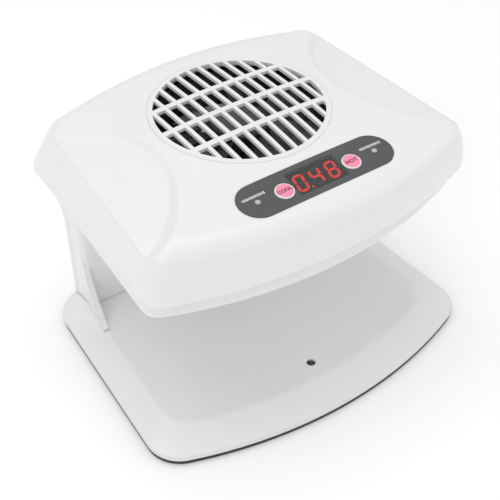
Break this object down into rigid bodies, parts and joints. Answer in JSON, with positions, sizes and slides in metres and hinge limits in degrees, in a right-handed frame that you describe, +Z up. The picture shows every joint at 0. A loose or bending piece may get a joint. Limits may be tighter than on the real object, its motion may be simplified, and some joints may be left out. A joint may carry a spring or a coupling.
{
  "type": "fan nail dryer",
  "caption": "Table-top fan nail dryer: base tray, rear column and overhanging hood with a round air grille, two keys and a digit display.",
  "frame": {"origin": "on the table under the middle of the bounding box", "axes": "+X to the right seen from the open front, +Y to the rear column, +Z up"},
  "size_m": [0.257, 0.2091, 0.1793],
  "materials": {
    "white_shell": "moulded, gently glossy",
    "white_grille": "moulded, satin",
    "base_black": "fine grain",
    "foot_rubber": "matt",
    "screw_steel": "zinc plated",
    "circuit_board": "solder mask",
    "sensor_dark": "infrared tinted resin",
    "inlet_plastic": "fine grain",
    "pin_brass": "plain",
    "component_black": "moulded",
    "display_face": "printed face of the digit module",
    "transformer_yellow": "wound tape",
    "capacitor_sleeve": "shrink sleeve",
    "terminal_green": "moulded",
    "duct_metal": "rolled sheet",
    "coil_wire": "heat tinted resistance wire",
    "mica": "pressed sheet",
    "cutout_metal": "pressed",
    "fan_black": "moulded",
    "stator_copper": "enamelled wire on a laminated core",
    "magnet_dark": "ferrite",
    "shaft_steel": "ground",
    "panel_grey": "printed film",
    "lens_smoke": "tinted clear window",
    "button_white": "polished",
    "button_pink": "polished",
    "lamp_clear": "milky clear",
    "segment_red": "lit",
    "segment_dark": "unlit",
    "cable_black": "soft sleeve"
  },
  "bodies": {
    "housing": {"base_tray": "white_shell", "column_shell": "white_shell", "rear_cover": "white_shell", "hood_lower_shell": "white_shell", "hood_cover": "white_shell", "intake_grille": "white_grille", "outlet_grille": "white_grille", "base_plate": "base_black", "rubber_foot_1": "foot_rubber", "rubber_foot_2": "foot_rubber", "rubber_foot_3": "foot_rubber", "rubber_foot_4": "foot_rubber", "base_screws": "screw_steel", "rear_screws": "screw_steel", "hood_screws": "screw_steel", "column_screws": "screw_steel", "fan_screws": "screw_steel", "power_board_screws": "screw_steel", "control_board_screws": "screw_steel", "sensor_board": "circuit_board", "power_board": "circuit_board", "control_board": "circuit_board", "sensor_receiver": "sensor_dark", "sensor_emitter": "sensor_dark", "inlet_socket": "inlet_plastic", "inlet_pins": "pin_brass", "fan_bearing": "pin_brass", "heater_relay": "component_black", "controller_chip": "component_black", "cool_key_switch": "component_black", "hot_key_switch": "component_black", "display_module": "display_face", "power_transformer": "transformer_yellow", "power_capacitor": "capacitor_sleeve", "terminal_block": "terminal_green", "air_duct": "duct_metal", "heater_coil": "coil_wire", "heater_frame": "mica", "thermal_cutout": "cutout_metal", "fan_frame": "fan_black", "fan_stator": "stator_copper", "control_overlay": "panel_grey", "display_lens": "lens_smoke", "cool_lamp": "lamp_clear", "hot_lamp": "lamp_clear", "lamp_chips": "lamp_clear", "display_segments_lit": "segment_red", "display_segments_dark": "segment_dark", "fan_cable": "cable_black", "panel_cable": "cable_black", "mains_cable": "cable_black", "sensor_cable": "cable_black"},
    "fan_rotor": {"fan_impeller": "fan_black", "fan_magnet": "magnet_dark", "fan_shaft": "shaft_steel"},
    "cool_button": {"cool_button_cap": "button_white", "cool_button_face": "button_pink"},
    "hot_button": {"hot_button_cap": "button_white", "hot_button_face": "button_pink"}
  },
  "joints": [
    {"name": "fan_spin", "type": "hinge", "parent": "housing", "child": "fan_rotor", "pos_m": [0, 0.0199, 0.15], "axis": [0, 0, 1], "continuous": true},
    {"name": "cool_button_press", "type": "slide", "parent": "housing", "child": "cool_button", "axis": [0, -0.1323, 0.9912], "range_m": [-0.0006, 0], "stiffness_N_per_m": 600, "springref_m": 0.0006},
    {"name": "hot_button_press", "type": "slide", "parent": "housing", "child": "hot_button", "axis": [0, -0.1323, 0.9912], "range_m": [-0.0006, 0], "stiffness_N_per_m": 600, "springref_m": 0.0006}
  ]
}
